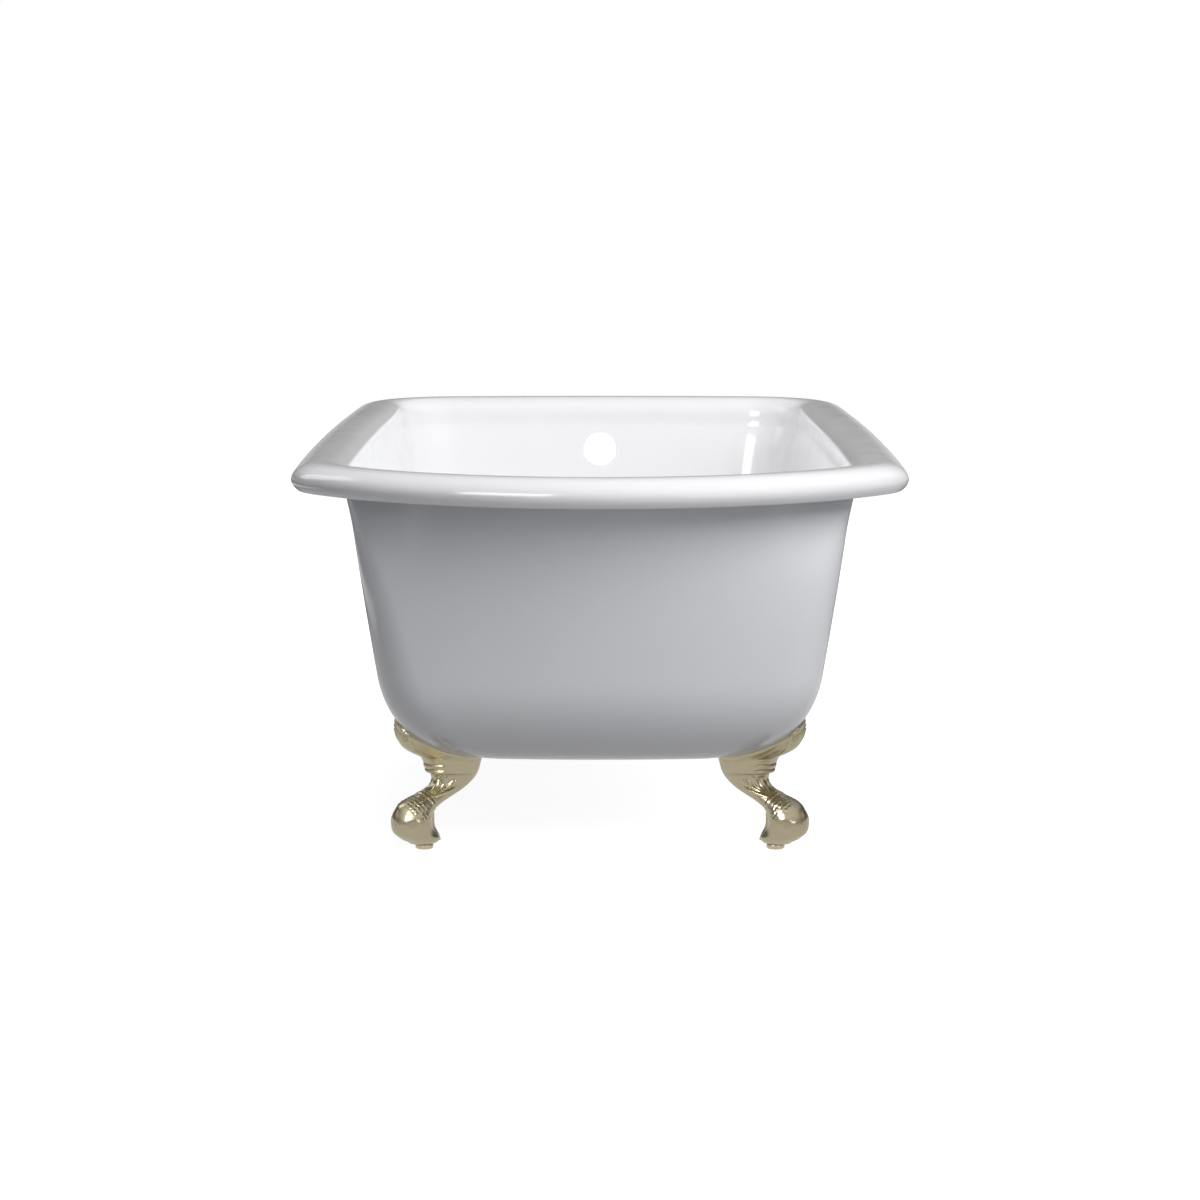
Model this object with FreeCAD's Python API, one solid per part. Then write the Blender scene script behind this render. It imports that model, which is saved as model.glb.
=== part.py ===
import FreeCAD, Part
import math
import os

# A free-standing cast-iron bathtub with a rolled rim, on four cast claw feet.
# Units are millimetres. +Z is up, +X is the bather's right, +Y points at the drain end,
# and the origin is on the floor under the middle of the rim.

os.makedirs("parts", exist_ok=True)
Vector = FreeCAD.Vector

# Overall size
overall_width = 914.0
overall_length = 1676.0
overall_height = 580.0

# Plan of the rim's outermost edge: arcs that meet tangent to each other. The back end's radius
# is half the width and what makes that end flatter than a half circle.
wide_y = -250.0
side_r = 20000.0
back_end_flatter = 73.0
drain_end_r = 3000.0
back_corner_r = 150.0
drain_corner_r = 180.0

# The roll of the rim
rim_width = 85.0
crown_from_edge = 44.0
roll_depth = 25.0
lip_turn_deg = 36.0
rim_drop = 45.0

# The body below the rim
wall = 8.0
flare = 6.0
flare_drop = 62.0
side_slope = 0.156
back_slope = 0.21
drain_slope = 0.12
floor_height = 139.0
bend_depth = 129.0
side_bend = 96.0
back_bend = 115.0
drain_bend = 100.0
floor_back_end_r = 1400.0
floor_drain_end_r = 2400.0
floor_corner_r = 100.0

# Shares of the way across the rim and of its drop, from the crown to the inner wall
shoulder_shares = [(0.30, 0.012), (0.56, 0.065), (0.77, 0.19), (0.91, 0.42), (0.98, 0.70)]

# Holes for the overflow and the waste, both left bare
overflow_bore_r = 30.0
overflow_drop = 93.0
drain_bore_r = 26.0
drain_seat_r = 36.0
drain_seat_depth = 2.5
drain_from_floor_end = 120.0

# Feet: where the levellers stand, and the way each foot faces
foot_from_side = 195.0
back_foot_from_end = 305.0
drain_foot_from_end = 213.0
foot_turn_deg = 33.0

# One foot casting, from its sole to the top of its saddle, which rises beside the tub's bottom
sole_height = 9.0
saddle_rise = 66.0
foot_spread = 100.0
# Each row: height, middle and half length along the way the foot faces, half breadth across it.
# The height is a share of the saddle top's height, and the rest are shares of the spread.
foot_section_shares = [
    (0.068, 0.040, 0.265, 0.245),
    (0.117, 0.155, 0.330, 0.295),
    (0.180, 0.215, 0.305, 0.320),
    (0.240, 0.215, 0.300, 0.320),
    (0.298, 0.155, 0.305, 0.290),
    (0.356, -0.005, 0.355, 0.250),
    (0.420, -0.270, 0.340, 0.228),
    (0.478, -0.460, 0.322, 0.240),
    (0.537, -0.530, 0.372, 0.290),
    (0.615, -0.500, 0.440, 0.360),
    (0.659, -0.490, 0.470, 0.400),
    (0.698, -0.430, 0.560, 0.430),
    (0.741, -0.370, 0.650, 0.455),
    (0.795, -0.330, 0.710, 0.470),
    (0.859, -0.310, 0.750, 0.480),
    (0.927, -0.320, 0.770, 0.480),
    (0.975, -0.350, 0.760, 0.465),
    (1.000, -0.380, 0.720, 0.430),
]
sole_section_shares = (0.020, 0.210, 0.170)

# Claws that grip the ball: heights and reach are shares as above
claw_turns_deg = [-62.0, 0.0, 62.0]
claw_r = 7.0
claw_tip_r = 2.5
ball_middle = 42.0
ball_r = 30.0
ball_forward = 21.0
claw_shares = [(1.30, 0.28), (0.92, 0.66), (0.35, 1.00), (-0.35, 0.98), (-0.72, 0.72)]

# Cast lug under the tub, with the bolt that holds the foot to it
lug_r = 19.0
lug_drop = 27.0
lug_back = 48.0
flange_thickness = 12.0
bolt_r = 6.0
bolt_grip = 18.0
bolt_head_across_flats = 19.0
bolt_head_height = 7.5
washer_r = 12.0
washer_thickness = 2.5
pocket_r = 15.5
pocket_height = 32.0
pocket_reach = 120.0

# Leveller: a threaded stud in the sole, with a round pad that turns on its end
stud_r = 5.0
least_thread = 33.0
leveller_travel = 10.0
stud_foot = 3.0
stud_chamfer = 1.0
pad_r = 13.5
pad_edge_r = 3.5

# Fits
seat_clearance = 0.3
thread_clearance = 0.05
bolt_hole_clearance = 0.5
tip_clearance = 2.0
overrun = 20.0

# Sizes that follow from the ones above. The stud's top is at rest, so that the least thread is
# left in the foot at full travel.
back_end_r = overall_width / 2 + back_end_flatter
wall_drop = overall_height - floor_height - bend_depth
foot_x = overall_width / 2 - foot_from_side
saddle_top = floor_height + saddle_rise
lug_seat_height = floor_height - lug_drop
flange_low = lug_seat_height - flange_thickness
pocket_floor = flange_low - pocket_height
stud_top = sole_height + least_thread + leveller_travel

# Smoothness of the free-form pieces
seam_tolerance = 0.005
oval_points = 16
claw_points = 12


def corner_centre(c1, r1, c2, r2, toward):
    """Where two circles in plan cross, on the side that a direction points to."""
    gap = c2 - c1
    span = gap.Length
    along = (span ** 2 + r1 ** 2 - r2 ** 2) / (2.0 * span)
    across = math.sqrt(r1 ** 2 - along ** 2)
    unit = gap * (1.0 / span)
    normal = Vector(-unit.y, unit.x, 0.0)
    foot = c1 + unit * along
    picks = [foot + normal * across, foot - normal * across]
    return max(picks, key=lambda p: p.dot(toward))


def arc(centre, start, end):
    """The short arc between two points on a circle about a centre."""
    radius = (start - centre).Length
    middle = (start - centre) + (end - centre)
    return Part.Arc(start, centre + middle * (radius / middle.Length), end).toShape()


def plan_wire(half_width, back_y, drain_y, radii, z):
    """One level outline of the tub: eight tangent arcs about the middle line."""
    back_r, drain_r, back_fillet, drain_fillet, flank_r = radii
    back_c = Vector(0.0, back_y + back_r, 0.0)
    drain_c = Vector(0.0, drain_y - drain_r, 0.0)
    flank_c = Vector(half_width - flank_r, wide_y, 0.0)
    backward = Vector(1.0, -1.0, 0.0)
    forward = Vector(1.0, 1.0, 0.0)
    back_k = corner_centre(back_c, back_r - back_fillet, flank_c, flank_r - back_fillet, backward)
    drain_k = corner_centre(drain_c, drain_r - drain_fillet, flank_c, flank_r - drain_fillet, forward)
    points = []
    for centre, corner, fillet in (
        (back_c, back_k, back_fillet),
        (flank_c, back_k, back_fillet),
        (flank_c, drain_k, drain_fillet),
        (drain_c, drain_k, drain_fillet),
    ):
        away = corner - centre
        points.append(corner + away * (fillet / away.Length))
    p1, p2, p3, p4 = points
    right = [(back_k, p1, p2), (flank_c, p2, p3), (drain_k, p3, p4)]
    edges = [arc(back_c, mirror(p1), p1)]
    edges += [arc(*piece) for piece in right]
    edges.append(arc(drain_c, p4, mirror(p4)))
    edges += [arc(mirror(c), mirror(b), mirror(a)) for c, a, b in reversed(right)]
    wire = Part.Wire(edges)
    wire.translate(Vector(0.0, 0.0, z))
    return wire


def mirror(point):
    """The same point on the left side."""
    return Vector(-point.x, point.y, point.z)


def rim_section(offset, drop):
    """The outline a given way in from the rim's outermost edge, at a drop below the crown."""
    radii = (
        back_end_r - offset,
        drain_end_r - offset,
        back_corner_r - offset,
        drain_corner_r - offset,
        side_r - offset,
    )
    half_width = overall_width / 2 - offset
    half_length = overall_length / 2 - offset
    return plan_wire(half_width, -half_length, half_length, radii, overall_height - drop)


def blend(start, end, share):
    """A value part of the way from one size to another."""
    return start + (end - start) * share


def flare_at(drop):
    """How far the body's top swells out towards the rim."""
    left = max(0.0, 1.0 - (drop - rim_drop) / flare_drop)
    return flare * left ** 2


def body_section(drop, turn, inward):
    """An outline of the body's outer face, or of a face that lies a given way inside it.

    The drop is measured below the crown, and the turn goes from 0 on the wall to a
    quarter turn where the bend meets the flat bottom.
    """
    down = drop - rim_drop
    bend = 1.0 - math.cos(turn)
    shift = inward * math.cos(turn) - flare_at(drop)
    share = down / (wall_drop + bend_depth - rim_drop)
    side = rim_width + side_slope * down + side_bend * bend + shift
    back = rim_width + back_slope * down + back_bend * bend + shift
    drain = rim_width + drain_slope * down + drain_bend * bend + shift
    radii = (
        blend(back_end_r - rim_width, floor_back_end_r, share) - shift,
        blend(drain_end_r - rim_width, floor_drain_end_r, share) - shift,
        blend(back_corner_r - rim_width, floor_corner_r, share) - shift,
        blend(drain_corner_r - rim_width, floor_corner_r, share) - shift,
        side_r,
    )
    z = overall_height - drop + inward * math.sin(turn)
    half_length = overall_length / 2
    return plan_wire(overall_width / 2 - side, back - half_length, half_length - drain, radii, z)


def flare_levels(inward):
    """Outlines down the short curved top of the wall."""
    count = 5
    return [body_section(rim_drop + flare_drop * i / count, 0.0, inward) for i in range(count + 1)]


def wall_levels(inward):
    """Outlines at the two ends of the straight wall."""
    return [body_section(drop, 0.0, inward) for drop in (rim_drop + flare_drop, wall_drop)]


def bend_levels(inward):
    """Outlines round the bend from the wall to the flat bottom."""
    count = 8
    turns = [math.pi / 2 * i / count for i in range(count + 1)]
    return [body_section(wall_drop + bend_depth * math.sin(t), t, inward) for t in turns]


def roll_levels(inward):
    """Outlines of the rolled rim from the lip up to the crown, on its outside or inside it."""
    low = -math.radians(lip_turn_deg)
    count = 9
    levels = []
    for i in range(count + 1):
        turn = blend(low, math.pi / 2, i / count)
        offset = crown_from_edge - (crown_from_edge - inward) * math.cos(turn)
        levels.append(rim_section(offset, roll_depth - (roll_depth - inward) * math.sin(turn)))
    return levels


def shoulder_levels(inward):
    """Outlines from the crown to the top of the wall, on the rim's outside or its hollow side."""
    outer = rim_width - flare
    end = outer + wall - inward
    levels = []
    for across, down in shoulder_shares:
        levels.append(rim_section(blend(crown_from_edge, end, across), blend(inward, rim_drop, down)))
    levels.append(body_section(rim_drop, 0.0, wall - inward))
    return levels


def lip_levels():
    """Outlines round the lip's tip, from the roll's outside to its hollow inside."""
    turn = math.radians(lip_turn_deg)
    long_r = crown_from_edge - wall / 2
    short_r = roll_depth - wall / 2
    past = wall / 2 / math.hypot(long_r * math.sin(turn), short_r * math.cos(turn))
    offset = crown_from_edge - long_r * math.cos(turn) + past * long_r * math.sin(turn)
    drop = roll_depth + short_r * math.sin(turn) + past * short_r * math.cos(turn)
    return [roll_levels(0.0)[0], rim_section(offset, drop), roll_levels(wall)[0]]


def skin(levels, ruled=False):
    """A surface through a run of outlines."""
    return Part.makeLoft(levels, False, ruled).Faces


def body_skin(inward):
    """The flare, wall and bend of the outer face, or of a face a given way inside it."""
    faces = skin(flare_levels(inward))
    faces += skin(wall_levels(inward), True)
    faces += skin(bend_levels(inward))
    return faces


def sewn_solid(faces):
    """A closed solid from faces that share their edges."""
    sheet = Part.makeCompound(faces)
    sheet.sewShape(seam_tolerance)
    solid = Part.makeSolid(sheet.Shells[0])
    if solid.Volume < 0:
        solid.reverse()
    return solid


def body_solid(inward):
    """All that lies within a face of the body, closed flat across the top."""
    faces = body_skin(inward)
    faces.append(Part.Face(flare_levels(inward)[0]))
    faces.append(Part.Face(bend_levels(inward)[-1]))
    return sewn_solid(faces)


def casting():
    """The tub's one casting, before its holes and lugs: rim, wall and bottom."""
    faces = skin(lip_levels())
    for inward in (0.0, wall):
        faces += skin(roll_levels(inward) + shoulder_levels(inward))
    faces += body_skin(0.0) + body_skin(wall)
    faces.append(Part.Face(bend_levels(0.0)[-1]))
    faces.append(Part.Face(bend_levels(wall)[-1]))
    return sewn_solid(faces)


def rod(radius, low, high, u=0.0, v=0.0):
    """An upright cylinder between two heights."""
    return Part.makeCylinder(radius, high - low, Vector(u, v, low))


def closed_curve(points):
    """A smooth closed wire through points."""
    curve = Part.BSplineCurve()
    curve.interpolate(Points=points, PeriodicFlag=True)
    return Part.Wire([curve.toShape()])


def oval(height, middle, half_long, half_broad):
    """A level outline of the foot, with its long way the way the foot faces."""
    points = []
    for i in range(oval_points):
        turn = 2.0 * math.pi * i / oval_points
        points.append(Vector(middle + half_long * math.cos(turn), half_broad * math.sin(turn), height))
    return closed_curve(points)


def leg():
    """The foot's body: ball, ankle, knee and saddle in one smooth run of level outlines."""
    middle, half_long, half_broad = [foot_spread * share for share in sole_section_shares]
    levels = [oval(sole_height, middle, half_long, half_broad)]
    for row in foot_section_shares:
        middle, half_long, half_broad = [foot_spread * share for share in row[1:]]
        levels.append(oval(saddle_top * row[0], middle, half_long, half_broad))
    return Part.makeLoft(levels, True, False)


def claw(turn):
    """One tapered claw that runs down over the ball."""
    outward = Vector(math.cos(turn), math.sin(turn), 0.0)
    across = Vector(-math.sin(turn), math.cos(turn), 0.0)
    middle = Vector(ball_forward, 0.0, ball_middle)
    path = [middle + outward * (ball_r * reach) + Vector(0.0, 0.0, ball_r * rise) for rise, reach in claw_shares]
    last = len(path) - 1
    rings = []
    for i, point in enumerate(path):
        along = path[min(i + 1, last)] - path[max(i - 1, 0)]
        along.normalize()
        upright = along.cross(across)
        radius = blend(claw_r, claw_tip_r, i / last)
        points = []
        for k in range(claw_points):
            angle = 2.0 * math.pi * k / claw_points
            points.append(point + across * (radius * math.cos(angle)) + upright * (radius * math.sin(angle)))
        rings.append(closed_curve(points))
    return Part.makeLoft(rings, True, False)


def place(shape, foot):
    """Turn and move a piece from the foot's own frame to where that foot stands."""
    x, y, turn = foot
    placed = shape.copy()
    placed.rotate(Vector(0.0, 0.0, 0.0), Vector(0.0, 0.0, 1.0), turn)
    placed.translate(Vector(x, y, 0.0))
    return placed


def foot_casting(foot):
    """One claw foot, cut to the tub's own curve, with its seat, pocket and holes."""
    body = leg()
    for turn in claw_turns_deg:
        body = body.fuse(claw(math.radians(turn)))
    body = body.cut(rod(lug_r + seat_clearance, lug_seat_height, saddle_top, -lug_back))
    pocket = rod(pocket_r, pocket_floor, flange_low, -lug_back)
    corner = Vector(-lug_back - pocket_reach, -pocket_r, pocket_floor)
    pocket = pocket.fuse(Part.makeBox(pocket_reach, 2.0 * pocket_r, flange_low - pocket_floor, corner))
    body = body.cut(pocket)
    body = body.cut(rod(bolt_r + bolt_hole_clearance, pocket_floor, lug_seat_height + overrun, -lug_back))
    body = body.cut(rod(stud_r + thread_clearance, sole_height - overrun, stud_top + tip_clearance))
    body = place(body, foot).cut(body_solid(-seat_clearance))
    return max(body.Solids, key=lambda solid: solid.Volume)


def foot_bolt():
    """The hexagon-head bolt that holds a foot up against its lug."""
    seat = flange_low - washer_thickness
    corner_r = bolt_head_across_flats / math.sqrt(3.0)
    corners = []
    for i in range(7):
        angle = math.pi * i / 3.0
        corners.append(Vector(corner_r * math.cos(angle) - lug_back, corner_r * math.sin(angle), seat))
    head = Part.Face(Part.makePolygon(corners)).extrude(Vector(0.0, 0.0, -bolt_head_height))
    return head.fuse(rod(bolt_r, seat, lug_seat_height + bolt_grip, -lug_back)).removeSplitter()


def foot_washer():
    """The flat washer under the bolt's head."""
    low = flange_low - washer_thickness
    ring = rod(washer_r, low, flange_low, -lug_back)
    return ring.cut(rod(bolt_r + thread_clearance, low, flange_low, -lug_back))


def leveller_stud():
    """The threaded stud, as a plain rod of the thread's outer size."""
    stud = rod(stud_r, stud_foot, stud_top)
    ends = [edge for edge in stud.Edges if edge.Closed and edge.BoundBox.ZMin > sole_height]
    return stud.makeChamfer(stud_chamfer, ends)


def leveller_pad():
    """The round pad with its rounded edge, and the blind hole that turns on the stud's end."""
    pad = rod(pad_r, 0.0, sole_height)
    rims = [edge for edge in pad.Edges if edge.Closed]
    pad = pad.makeFillet(pad_edge_r, rims)
    return pad.cut(rod(stud_r + thread_clearance, stud_foot, sole_height))


def overflow_hole():
    """The cutter for the overflow hole, square to the drain-end wall."""
    drop = overflow_drop
    y = overall_length / 2 - rim_width - drain_slope * (drop - rim_drop)
    outward = Vector(0.0, 1.0, -drain_slope)
    outward.normalize()
    start = Vector(0.0, y, overall_height - drop) - outward * (wall + overrun)
    return Part.makeCylinder(overflow_bore_r, wall + 2.0 * overrun, start, outward)


def drain_hole():
    """The cutter for the waste hole and the shallow seat round it in the floor."""
    down = wall_drop + bend_depth - rim_drop
    floor_end = overall_length / 2 - rim_width - drain_slope * down - drain_bend
    y = floor_end - drain_from_floor_end
    inside = floor_height + wall
    hole = rod(drain_bore_r, floor_height - overrun, inside + overrun, 0.0, y)
    return hole.fuse(rod(drain_seat_r, inside - drain_seat_depth, inside + overrun, 0.0, y))


def lug(foot):
    """The cast lug that a foot bolts to, and its blind threaded hole."""
    boss = place(rod(lug_r, lug_seat_height, saddle_top, -lug_back), foot)
    hole = place(rod(bolt_r + thread_clearance, lug_seat_height, lug_seat_height + bolt_grip, -lug_back), foot)
    return boss.cut(body_solid(wall / 2)), hole


def save(shape, name):
    """Write one piece, and say how large it is."""
    solids = len(shape.Solids)
    box = shape.BoundBox
    print(f"{name}: {solids} solid, valid {shape.isValid()}, {shape.Volume / 1000:.1f} cm3")
    print(f"  x {box.XMin:.2f} to {box.XMax:.2f}, y {box.YMin:.2f} to {box.YMax:.2f}, z {box.ZMin:.2f} to {box.ZMax:.2f}")
    shape.exportStep(f"parts/{name}.step")


back_y = back_foot_from_end - overall_length / 2
drain_y = overall_length / 2 - drain_foot_from_end
feet = {
    "back_left": (-foot_x, back_y, 180.0 + foot_turn_deg),
    "back_right": (foot_x, back_y, -foot_turn_deg),
    "drain_left": (-foot_x, drain_y, 180.0 - foot_turn_deg),
    "drain_right": (foot_x, drain_y, foot_turn_deg),
}

tub = casting()
for foot in feet.values():
    boss, hole = lug(foot)
    tub = tub.fuse(boss).cut(hole)
tub = tub.cut(overflow_hole()).cut(drain_hole())
save(tub, "tub_shell")

for name, foot in feet.items():
    save(foot_casting(foot), f"{name}_foot")
    save(place(foot_bolt(), foot), f"{name}_foot_bolt")
    save(place(foot_washer(), foot), f"{name}_foot_washer")
    save(place(leveller_stud(), foot), f"{name}_leveller_stud")
    save(place(leveller_pad(), foot), f"{name}_leveller_pad")
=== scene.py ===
# %% [markdown]
# # A cast-iron bathtub on claw feet
#
# The real thing is one iron casting under white glass enamel. It stands on four nickel-plated
# feet, and each foot has a small screw leveller. The frame that is loaded first holds every piece
# at its true size and place, in metres. This lesson gives the pieces their finished shapes and
# their finishes. Shapes are worked out with numpy as whole arrays, so a size can be changed and
# the lesson run again.

# %% Load the frame
import bpy
import math
import numpy as np
from mathutils.bvhtree import BVHTree
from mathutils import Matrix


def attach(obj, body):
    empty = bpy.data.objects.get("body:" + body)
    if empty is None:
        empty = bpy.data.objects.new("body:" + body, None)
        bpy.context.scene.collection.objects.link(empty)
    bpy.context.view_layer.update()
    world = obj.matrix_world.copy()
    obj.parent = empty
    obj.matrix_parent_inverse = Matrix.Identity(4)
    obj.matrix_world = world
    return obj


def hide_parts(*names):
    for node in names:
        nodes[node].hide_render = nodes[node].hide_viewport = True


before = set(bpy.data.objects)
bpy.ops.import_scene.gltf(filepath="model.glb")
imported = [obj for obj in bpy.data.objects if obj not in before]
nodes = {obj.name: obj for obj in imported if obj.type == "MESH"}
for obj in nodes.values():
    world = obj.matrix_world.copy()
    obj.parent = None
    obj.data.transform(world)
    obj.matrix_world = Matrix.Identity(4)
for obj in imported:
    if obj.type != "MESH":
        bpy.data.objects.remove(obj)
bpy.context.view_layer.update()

# %% [markdown]
# ## From a grid of points to a mesh
#
# Drawings are in millimetres and Blender works in metres, so shapes are worked out in
# millimetres and scaled once, when their mesh is made. A grid of points becomes a mesh when each
# point is joined to the next one along its row and to the two beside them in the next row.

# %% Faces of a grid
MM = 0.001
UP = (0.0, 0.0, 1.0)


def grid_quads(rows, columns):
    """Corner numbers of a grid's faces. Columns run round in a ring, and rows are open."""
    row = np.arange(rows - 1)[:, None]
    column = np.arange(columns)[None, :]
    after = (column + 1) % columns
    corners = [row * columns + column, row * columns + after]
    corners += [(row + 1) * columns + after, (row + 1) * columns + column]
    return np.stack(corners, -1).reshape(-1, 4)


def closed_grid(rings):
    """Points and faces of a skin through rings, with a point at each end that closes it.

    Each end point is the mean of its ring, joined to it by a fan of triangles.
    """
    rows, columns, _ = rings.shape
    ends = [rings[0].mean(0), rings[-1].mean(0)]
    points = np.concatenate([rings.reshape(-1, 3), ends])
    column = np.arange(columns)
    after = (column + 1) % columns
    last = (rows - 1) * columns
    start_fan = np.stack([after, column, np.full(columns, rows * columns)], -1)
    end_fan = np.stack([last + column, last + after, np.full(columns, rows * columns + 1)], -1)
    return points, grid_quads(rows, columns).tolist() + start_fan.tolist() + end_fan.tolist()


print("A grid of 3 rows and 4 columns has", len(grid_quads(3, 4)), "faces")


# %% A piece from points and faces
def put_in_scene(name, data):
    """An object made of a mesh, a lamp or a camera, and linked to the scene."""
    piece = bpy.data.objects.new(name, data)
    bpy.context.scene.collection.objects.link(piece)
    return piece


def new_piece(name, points, faces):
    """A smooth-shaded object from points in millimetres, with its place in its mesh."""
    mesh = bpy.data.meshes.new(name)
    mesh.from_pydata((np.asarray(points) * MM).tolist(), [], faces)
    mesh.polygons.foreach_set("use_smooth", np.ones(len(mesh.polygons), bool))
    mesh.update()
    return put_in_scene(name, mesh)


print("Millimetres are scaled by", MM)

# %% [markdown]
# A modifier such as a boolean cut stays live until its result is taken as a new mesh. Taking it
# at once keeps the finished piece plain, and lets the tools that made it be thrown away.

# %% Take a modifier's result
def settle(piece):
    """Replace a piece's mesh by what its modifiers make of it, and drop the modifiers."""
    bpy.context.view_layer.update()
    shaped = piece.evaluated_get(bpy.context.evaluated_depsgraph_get())
    mesh = bpy.data.meshes.new_from_object(shaped)
    piece.modifiers.clear()
    old, piece.data = piece.data, mesh
    bpy.data.meshes.remove(old)
    while mesh.materials and mesh.materials[-1] is None:
        mesh.materials.pop()
    return piece


def discard(piece):
    """Remove a piece and its mesh."""
    mesh = piece.data
    bpy.data.objects.remove(piece)
    bpy.data.meshes.remove(mesh)


def combine(piece, others, operation):
    """Cut other closed shapes out of a piece, or join them to it, and remove the others."""
    for other in others:
        modifier = piece.modifiers.new(operation, "BOOLEAN")
        modifier.object = other
        modifier.operation = operation
        modifier.solver = "MANIFOLD"
        modifier.material_mode = "INDEX"
    settle(piece)
    for other in others:
        discard(other)


print("Boolean helper ready")

# %% [markdown]
# ## The camera
#
# A photograph fixes the camera: the outline of the rim, the body and the feet only fall in the
# right places from one distance and height. That camera stands about 5.3 m from the near rim,
# half a metre above it, and looks down by 7.2 degrees through a long lens.

# %% Camera at the photograph's view
looks_down = 7.208
camera_data = bpy.data.cameras.new("photo_camera")
camera_data.sensor_width, camera_data.lens, camera_data.clip_end = 36.0, 114.03, 100.0
camera = put_in_scene("photo_camera", camera_data)
camera.location = (0.0, -6.11465, 1.07948)
camera.rotation_euler = (math.radians(90.0 - looks_down), 0.0, 0.0)
bpy.context.scene.camera = camera
print("Camera height above the floor:", camera.location.z)

# %% [markdown]
# ## The tub's outline in plan
#
# Seen from above, every level of the tub is the same kind of outline: eight arcs, each tangent
# to the next. The near end is a broad arc, the far end is nearly flat, the sides are barely bowed
# and four smaller arcs make the corners. One function gives half of that outline for many levels
# at once. It holds each point as one complex number, x + iy, because turning a point about a
# centre is then one multiplication.

# %% Sizes of the tub, in millimetres
width, length, height = 914.0, 1676.0, 580.0
# Plan: radii of the sides, the two ends and their corners, and where the sides bow out most
side_r, drain_end_r, back_corner_r, drain_corner_r = 20000.0, 3000.0, 150.0, 180.0
back_end_r = width / 2 + 73.0
widest_y = -250.0
# Rim: its breadth, how far in its crown lies, how deep it rolls, and how far down the wall starts
rim_width, crown_from_edge, roll_depth, rim_drop = 85.0, 44.0, 25.0, 45.0
lip_end = math.radians(-36.0)
shoulder_power = 2.9
# Wall: its thickness, and the flare that widens it just under the rim
wall, flare, flare_drop = 8.0, 6.0, 62.0
# Slope of the wall and reach of the bend under it, at the side, the back end and the drain end
slopes = np.array([0.156, 0.21, 0.12])
bends = np.array([96.0, 115.0, 100.0])
wall_drop, bend_depth = 312.0, 129.0
# Radii in plan of the two ends and their corners, at the bottom and at the outermost outline
floor_radii = np.array([1400.0, 2400.0, 100.0, 100.0])
end_radii = np.array([back_end_r, drain_end_r, back_corner_r, drain_corner_r])
floor_z = height - wall_drop - bend_depth
print("Bottom of the tub above the floor:", floor_z, "mm")


# %% Half of an outline, as tangent arcs
arc_steps = (26, 26, 64, 26, 26)


def crossing(c1, r1, c2, r2, side):
    """Where two circles cross: part of the way along the line between their centres, then
    square to that line, to the side asked for."""
    gap = c2 - c1
    span = np.abs(gap)
    along = (span ** 2 + r1 ** 2 - r2 ** 2) / (2 * span)
    return c1 + gap / span * (along + 1j * side * np.sqrt(r1 ** 2 - along ** 2))


def half_outline(half_width, back, drain, radii):
    """Right half of each level's outline, from the middle of the back to that of the drain end.

    Each corner arc's centre is where the circles of its two neighbours cross, both made smaller
    by the corner's radius. Points divide each arc by equal turns about its centre.
    """
    back_r, drain_r, back_fillet, drain_fillet = radii.T
    flank_r = side_r + 0 * back
    back_c, drain_c = 1j * (back + back_r), 1j * (drain - drain_r)
    flank_c = half_width - flank_r + 1j * widest_y
    back_k = crossing(back_c, back_r - back_fillet, flank_c, flank_r - back_fillet, 1)
    drain_k = crossing(drain_c, drain_r - drain_fillet, flank_c, flank_r - drain_fillet, -1)
    touch = [1j * back]
    touch += [k + (k - c) / np.abs(k - c) * f for k, c, f in (
        (back_k, back_c, back_fillet), (back_k, flank_c, back_fillet),
        (drain_k, flank_c, drain_fillet), (drain_k, drain_c, drain_fillet))]
    touch.append(1j * drain)
    centres = (back_c, back_k, flank_c, drain_k, drain_c)
    arcs = []
    for centre, start, end, count in zip(centres, touch, touch[1:], arc_steps):
        turn = np.angle((end - centre) / (start - centre))[:, None] * np.arange(count) / count
        arcs.append(centre[:, None] + (start - centre)[:, None] * np.exp(1j * turn))
    return np.concatenate(arcs + [touch[-1][:, None]], 1)


def level_rings(levels):
    """Rings of points from levels: half width, back end, drain end, four radii and height each.

    The right half is mirrored to the left, and the two points on the middle line aren't doubled.
    """
    half = half_outline(levels[:, 0], levels[:, 1], levels[:, 2], levels[:, 3:7])
    whole = np.concatenate([half, -np.conj(half[:, -2:0:-1])], 1)
    z = np.broadcast_to(levels[:, 7:8], whole.shape)
    return np.stack([whole.real, whole.imag, z], -1)


print("Points round an outline:", 2 * sum(arc_steps))

# %% [markdown]
# ## The profile from lip to floor
#
# A level is then a few numbers: how far in each side lies, four radii and a height. The rim's
# levels are the outermost outline moved in, and the body's levels slope in as they go down and
# curl under at the bottom.

# %% Levels of the body
quarter = np.pi / 2


def body_levels(drop, turn, inward):
    """Levels of the body's face. Each side moves in by its slope times the way down, plus its
    bend times one less the cosine of the turn, less a flare that dies away as a square."""
    drop, turn = np.broadcast_arrays(np.asarray(drop, float), np.asarray(turn, float))
    down = drop - rim_drop
    shift = inward * np.cos(turn) - flare * np.clip(1 - down / flare_drop, 0, None) ** 2
    share = down / (wall_drop + bend_depth - rim_drop)
    top = end_radii - rim_width
    radii = top + (floor_radii - top) * share[:, None] - shift[:, None]
    moved = rim_width + np.outer(slopes, down) + np.outer(bends, 1 - np.cos(turn)) + shift
    side, back, drain = moved
    z = height - drop + inward * np.sin(turn)
    return np.column_stack([width / 2 - side, back - length / 2, length / 2 - drain, radii, z])


print("Inner wall at the crown is in by", rim_width - flare + wall, "mm")


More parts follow.
